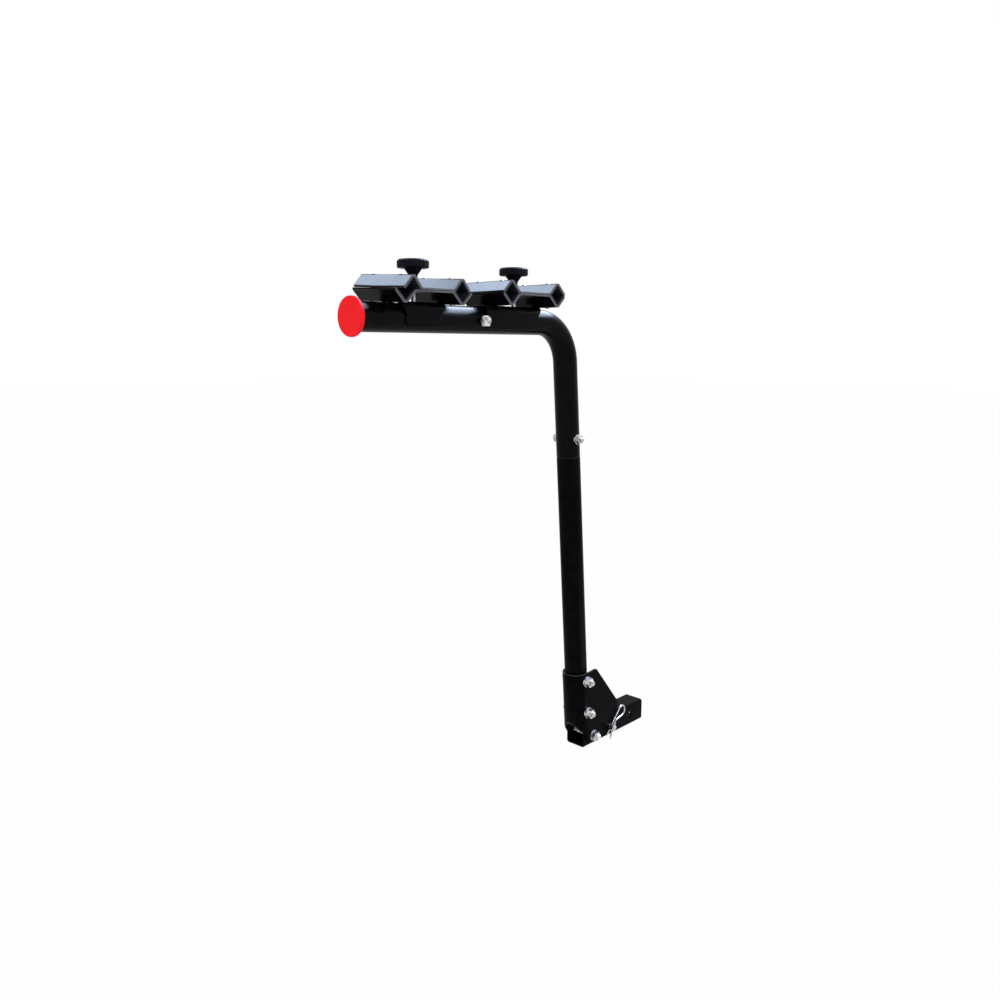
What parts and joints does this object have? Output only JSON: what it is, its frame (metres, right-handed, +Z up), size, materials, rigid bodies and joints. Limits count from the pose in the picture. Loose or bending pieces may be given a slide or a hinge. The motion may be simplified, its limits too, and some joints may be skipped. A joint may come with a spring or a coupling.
{
  "type": "hitch bike rack",
  "caption": "Hitch-mounted bicycle rack: a square shank, a tilting mast bent into an arm, and hand-tightened V-channel clamps with a red end cap.",
  "frame": {"origin": "centre of the hitch pin hole, on the middle line of the square shank", "axes": "+X along the shank toward the vehicle, +Y across it along the hitch pin hole, +Z up"},
  "size_m": [0.8416, 0.138, 1.0701],
  "materials": {
    "black_coat": "gloss powder coat",
    "zinc": "bright zinc",
    "rubber": "matt",
    "black_plastic": "satin",
    "red_plastic": "satin gloss"
  },
  "bodies": {
    "shank": {"receiver_shank": "black_coat", "lock_pin": "zinc", "pivot_bolt": "zinc", "pivot_nut": "zinc", "pivot_washers": "zinc"},
    "clip": {"lock_pin_clip": "zinc"},
    "mast": {"mast_bracket": "black_coat", "lower_mast_tube": "black_coat", "mast_spigot": "black_coat", "upper_arm_tube": "black_coat", "arm_end_cap": "red_plastic", "front_saddle": "black_coat", "rear_saddle": "black_coat", "bracket_bolts": "zinc", "bracket_nuts": "zinc", "bracket_washers": "zinc", "mast_joint_bolt": "zinc", "mast_joint_nut": "zinc", "mast_joint_washers": "zinc", "saddle_bolt": "zinc", "saddle_nut": "zinc", "front_clamp_bolt": "zinc", "rear_clamp_bolt": "zinc", "rear_lower_jaw": "black_coat", "rear_lower_liners": "rubber", "rear_lower_rivets": "zinc"},
    "front_lower_jaw": {"front_lower_jaw": "black_coat", "front_lower_liners": "rubber", "front_lower_rivets": "zinc"},
    "front_carriage": {"front_clamp_washer": "zinc"},
    "front_upper_jaw": {"front_upper_jaw": "black_coat", "front_upper_liners": "rubber", "front_upper_rivets": "zinc"},
    "front_knob": {"front_knob": "black_plastic", "front_knob_insert": "zinc"},
    "rear_carriage": {"rear_clamp_washer": "zinc"},
    "rear_upper_jaw": {"rear_upper_jaw": "black_coat", "rear_upper_liners": "rubber", "rear_upper_rivets": "zinc"},
    "rear_knob": {"rear_knob": "black_plastic", "rear_knob_insert": "zinc"}
  },
  "joints": [
    {"name": "clip_pull", "type": "slide", "parent": "shank", "child": "clip", "axis": [0.6691, 0, 0.7431], "range_m": [0, 0.045]},
    {"name": "mast_tilt", "type": "hinge", "parent": "shank", "child": "mast", "pos_m": [-0.1513, 0, 0], "axis": [0, -1, 0], "range_deg": [0, 75]},
    {"name": "front_lower_jaw_turn", "type": "hinge", "parent": "mast", "child": "front_lower_jaw", "pos_m": [-0.65201, 0, 0.9794], "axis": [0, -0.0489, 0.9988], "range_deg": [-12, 12]},
    {"name": "front_clamp_lift", "type": "slide", "parent": "mast", "child": "front_carriage", "axis": [0, 0, 1], "range_m": [0, 0.03]},
    {"name": "front_upper_jaw_turn", "type": "hinge", "parent": "front_carriage", "child": "front_upper_jaw", "pos_m": [-0.65201, 0, 0.9794], "axis": [0, -0.0489, 0.9988], "continuous": true},
    {"name": "front_knob_turn", "type": "hinge", "parent": "front_carriage", "child": "front_knob", "pos_m": [-0.65201, 0, 0.9794], "axis": [0, 0, 1], "range_deg": [0, 7200]},
    {"name": "rear_clamp_lift", "type": "slide", "parent": "mast", "child": "rear_carriage", "axis": [0, 0, 1], "range_m": [0, 0.03]},
    {"name": "rear_upper_jaw_turn", "type": "hinge", "parent": "rear_carriage", "child": "rear_upper_jaw", "pos_m": [-0.39551, 0, 0.9812], "axis": [0, 0, 1], "continuous": true},
    {"name": "rear_knob_turn", "type": "hinge", "parent": "rear_carriage", "child": "rear_knob", "pos_m": [-0.39551, 0, 0.9812], "axis": [0, 0, 1], "range_deg": [0, 7200]}
  ],
  "couplings": [
    {"joint": "front_knob_turn", "follows": "front_clamp_lift", "rad_per_m": 4188.8},
    {"joint": "rear_knob_turn", "follows": "rear_clamp_lift", "rad_per_m": 4188.8}
  ]
}
